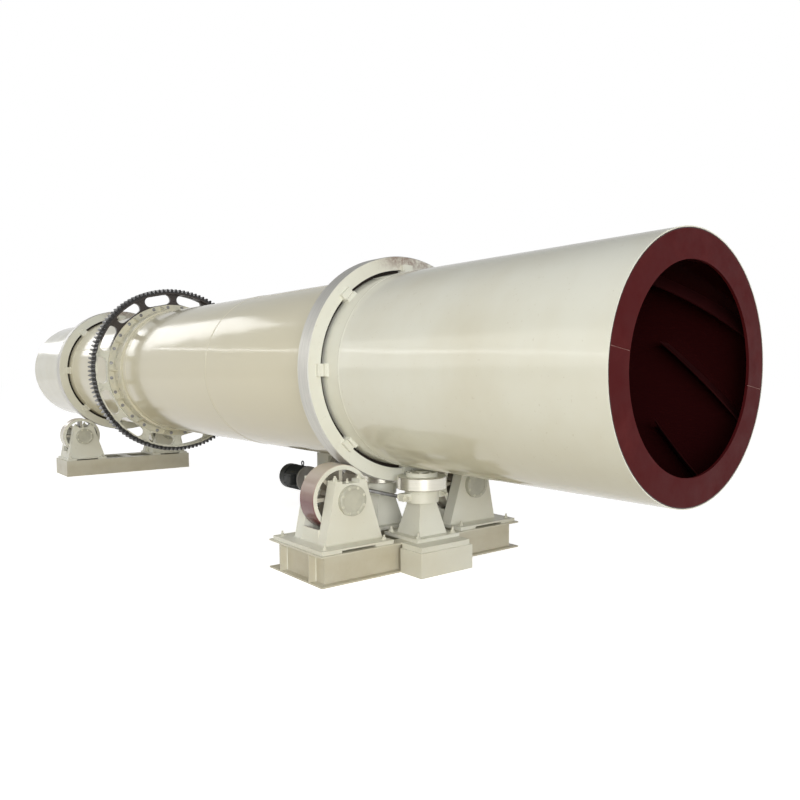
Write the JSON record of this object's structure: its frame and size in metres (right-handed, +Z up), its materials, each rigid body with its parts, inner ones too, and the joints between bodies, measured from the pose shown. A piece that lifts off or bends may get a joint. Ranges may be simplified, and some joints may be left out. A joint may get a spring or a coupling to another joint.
{
  "type": "rotary dryer",
  "caption": "Rotary dryer: a long open-ended steel drum on two tyres and roller stations, turned through a girth gear by a pinion, reducer and motor.",
  "frame": {"origin": "on the ground under the drum axis, at the middle of the near tyre", "axes": "+X along the drum towards the near mouth, +Y towards the drive side, +Z up"},
  "size_m": [14, 2.7157, 3.0538],
  "materials": {
    "cream_paint": "glossy cream paint",
    "maroon_primer": "satin dark red primer",
    "tyre_steel": "machined tread with painted sides",
    "roller_steel": "machined tread with painted sides",
    "gear_steel": "greased cast teeth",
    "motor_black": "satin black paint",
    "drive_grey": "satin grey paint",
    "bare_steel": "bare machined steel"
  },
  "bodies": {
    "base": {"back_thrust_box": "cream_paint", "back_thrust_pedestal": "cream_paint", "belt_guard": "drive_grey", "drive_stand": "cream_paint", "far_bearing_caps": "cream_paint", "far_frame": "cream_paint", "far_left_foot": "cream_paint", "far_left_pedestals": "cream_paint", "far_right_foot": "cream_paint", "far_right_pedestals": "cream_paint", "front_thrust_box": "cream_paint", "front_thrust_pedestal": "cream_paint", "motor": "motor_black", "motor_base": "drive_grey", "near_bearing_caps": "cream_paint", "near_frame": "cream_paint", "near_left_foot": "cream_paint", "near_left_pedestals": "cream_paint", "near_right_foot": "cream_paint", "near_right_pedestals": "cream_paint", "pinion_pedestal": "cream_paint", "reducer": "drive_grey", "terminal_box": "drive_grey", "tie_rods": "bare_steel"},
    "drum": {"far_end_ring": "maroon_primer", "far_tyre": "tyre_steel", "far_tyre_pads": "cream_paint", "gear_mount": "cream_paint", "girth_gear": "gear_steel", "inlet_spirals": "maroon_primer", "lifting_flights": "maroon_primer", "near_end_ring": "maroon_primer", "near_tyre": "tyre_steel", "near_tyre_pads": "cream_paint", "shell_course_1": "cream_paint", "shell_course_2": "cream_paint", "shell_course_3": "cream_paint", "shell_course_4": "cream_paint", "shell_course_5": "cream_paint"},
    "pinion": {"pinion": "gear_steel", "coupling": "bare_steel"},
    "back_thrust_roller": {"back_thrust_roller": "roller_steel"},
    "far_left_roller": {"far_left_roller": "roller_steel"},
    "far_right_roller": {"far_right_roller": "roller_steel"},
    "front_thrust_roller": {"front_thrust_roller": "roller_steel"},
    "near_left_roller": {"near_left_roller": "roller_steel"},
    "near_right_roller": {"near_right_roller": "roller_steel"}
  },
  "joints": [
    {"name": "drum_spin", "type": "hinge", "parent": "base", "child": "drum", "pos_m": [0, 0, 1.81384], "axis": [1, 0, 0], "continuous": true},
    {"name": "near_left_roller_spin", "type": "hinge", "parent": "base", "child": "near_left_roller", "pos_m": [0, -0.74087, 0.673], "axis": [1, 0, 0], "continuous": true},
    {"name": "near_right_roller_spin", "type": "hinge", "parent": "base", "child": "near_right_roller", "pos_m": [0, 0.74087, 0.673], "axis": [1, 0, 0], "continuous": true},
    {"name": "far_left_roller_spin", "type": "hinge", "parent": "base", "child": "far_left_roller", "pos_m": [-8.38, -0.74087, 0.673], "axis": [1, 0, 0], "continuous": true},
    {"name": "far_right_roller_spin", "type": "hinge", "parent": "base", "child": "far_right_roller", "pos_m": [-8.38, 0.74087, 0.673], "axis": [1, 0, 0], "continuous": true},
    {"name": "pinion_spin", "type": "hinge", "parent": "base", "child": "pinion", "pos_m": [-5.8, 1.19575, 1.06666], "axis": [1, 0, 0], "continuous": true},
    {"name": "front_thrust_roller_spin", "type": "hinge", "parent": "base", "child": "front_thrust_roller", "pos_m": [0.33, 0, 0.71484], "axis": [0, 0, 1], "continuous": true},
    {"name": "back_thrust_roller_spin", "type": "hinge", "parent": "base", "child": "back_thrust_roller", "pos_m": [-0.33, 0, 0.71484], "axis": [0, 0, 1], "continuous": true}
  ],
  "couplings": [
    {"joint": "near_left_roller_spin", "follows": "drum_spin", "ratio": -3.5333},
    {"joint": "near_right_roller_spin", "follows": "drum_spin", "ratio": -3.5333},
    {"joint": "far_left_roller_spin", "follows": "drum_spin", "ratio": -3.5333},
    {"joint": "far_right_roller_spin", "follows": "drum_spin", "ratio": -3.5333},
    {"joint": "pinion_spin", "follows": "drum_spin", "ratio": -6.4211}
  ]
}
